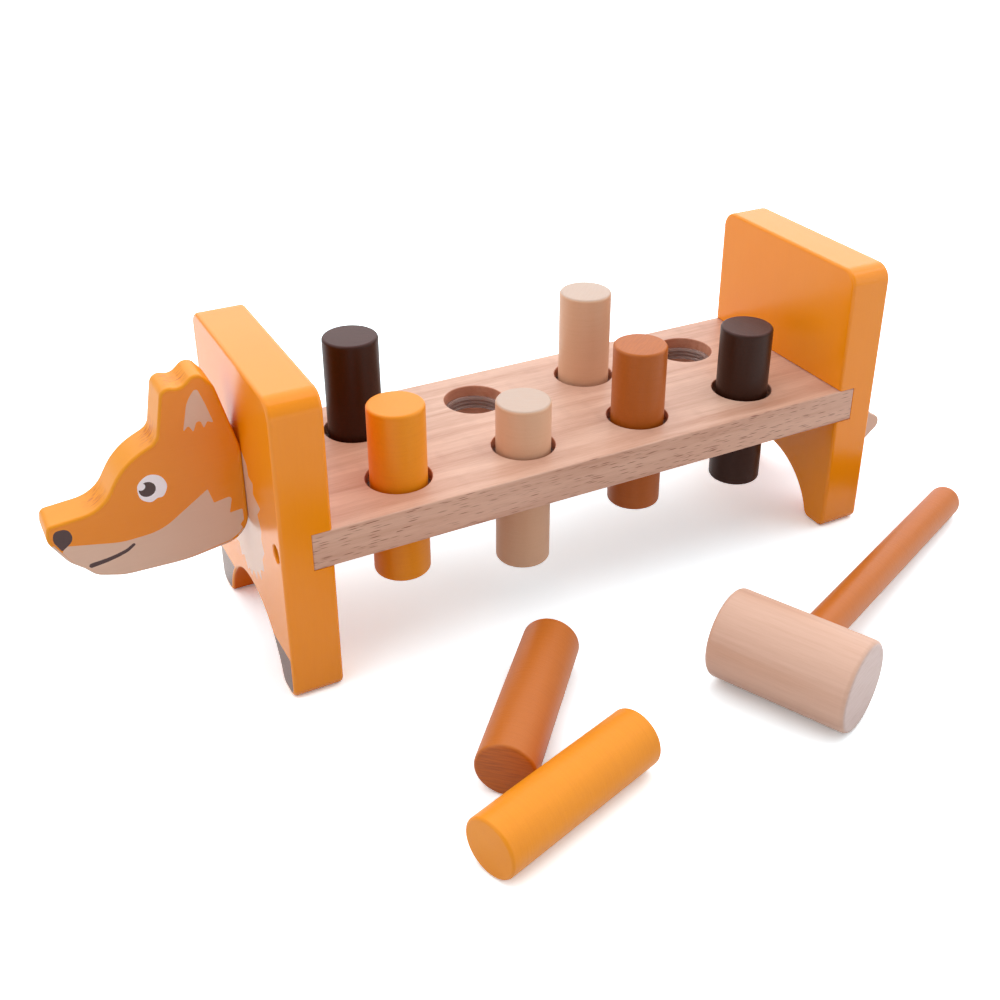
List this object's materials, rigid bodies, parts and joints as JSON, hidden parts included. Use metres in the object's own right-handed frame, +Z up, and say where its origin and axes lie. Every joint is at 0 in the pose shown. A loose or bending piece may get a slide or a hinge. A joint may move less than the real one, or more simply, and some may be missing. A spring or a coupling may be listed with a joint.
{
  "type": "peg_pounding_bench",
  "caption": "Wooden peg pounding bench in the shape of a fox: orange end boards, beech plank with grip-ring holes, coloured pegs that hammer through, and a wooden mallet",
  "frame": {"origin": "on the floor, under the middle of the box that holds the bench, the two loose pegs and the mallet", "axes": "+X runs along the bench from the fox's head to its tail, +Z is up, and -Y is the side on which the loose pegs and the mallet lie"},
  "size_m": [0.4354, 0.2348, 0.14],
  "materials": {
    "beech": "satin",
    "pale_wood": "satin",
    "orange_paint": "gloss",
    "yellow_paint": "satin",
    "cream_paint": "satin",
    "rust_paint": "satin",
    "brown_paint": "satin",
    "clear_plastic": "gloss",
    "zinc_steel": "satin"
  },
  "bodies": {
    "bench": {"bench_plank": "beech", "front_end_board": "orange_paint", "rear_end_board": "orange_paint", "fox_head": "orange_paint", "fox_tail": "orange_paint", "head_dowels": "beech", "tail_dowels": "beech", "front_board_screws": "zinc_steel", "rear_board_screws": "zinc_steel", "grip_ring_front_1": "clear_plastic", "grip_ring_front_2": "clear_plastic", "grip_ring_front_3": "clear_plastic", "grip_ring_front_4": "clear_plastic", "grip_ring_back_1": "clear_plastic", "grip_ring_back_2": "clear_plastic", "grip_ring_back_3": "clear_plastic", "grip_ring_back_4": "clear_plastic"},
    "peg_front_1": {"yellow_peg_front_1": "yellow_paint"},
    "peg_front_2": {"cream_peg_front_2": "cream_paint"},
    "peg_front_3": {"rust_peg_front_3": "rust_paint"},
    "peg_front_4": {"brown_peg_front_4": "brown_paint"},
    "peg_back_1": {"brown_peg_back_1": "brown_paint"},
    "peg_back_3": {"cream_peg_back_3": "cream_paint"},
    "loose_yellow_peg": {"yellow_peg_loose": "yellow_paint"},
    "loose_rust_peg": {"rust_peg_loose": "rust_paint"},
    "mallet": {"mallet_head": "pale_wood", "mallet_handle": "rust_paint"}
  },
  "joints": [
    {"name": "peg_front_1_slide", "type": "slide", "parent": "bench", "child": "peg_front_1", "axis": [0, 0, 1], "range_m": [-0.0318, 0.0502]},
    {"name": "peg_front_2_slide", "type": "slide", "parent": "bench", "child": "peg_front_2", "axis": [0, 0, 1], "range_m": [-0.0191, 0.0629]},
    {"name": "peg_front_3_slide", "type": "slide", "parent": "bench", "child": "peg_front_3", "axis": [0, 0, 1], "range_m": [-0.033, 0.049]},
    {"name": "peg_front_4_slide", "type": "slide", "parent": "bench", "child": "peg_front_4", "axis": [0, 0, 1], "range_m": [-0.0297, 0.0523]},
    {"name": "peg_back_1_slide", "type": "slide", "parent": "bench", "child": "peg_back_1", "axis": [0, 0, 1], "range_m": [-0.0427, 0.0393]},
    {"name": "peg_back_3_slide", "type": "slide", "parent": "bench", "child": "peg_back_3", "axis": [0, 0, 1], "range_m": [-0.0409, 0.0411]},
    {"name": "loose_yellow_lift", "type": "slide", "parent": "bench", "child": "loose_yellow_peg", "axis": [0, 0, 1], "range_m": [0, 0.2]},
    {"name": "loose_rust_lift", "type": "slide", "parent": "bench", "child": "loose_rust_peg", "axis": [0, 0, 1], "range_m": [0, 0.2]},
    {"name": "mallet_lift", "type": "slide", "parent": "bench", "child": "mallet", "axis": [0, 0, 1], "range_m": [0, 0.2]}
  ]
}
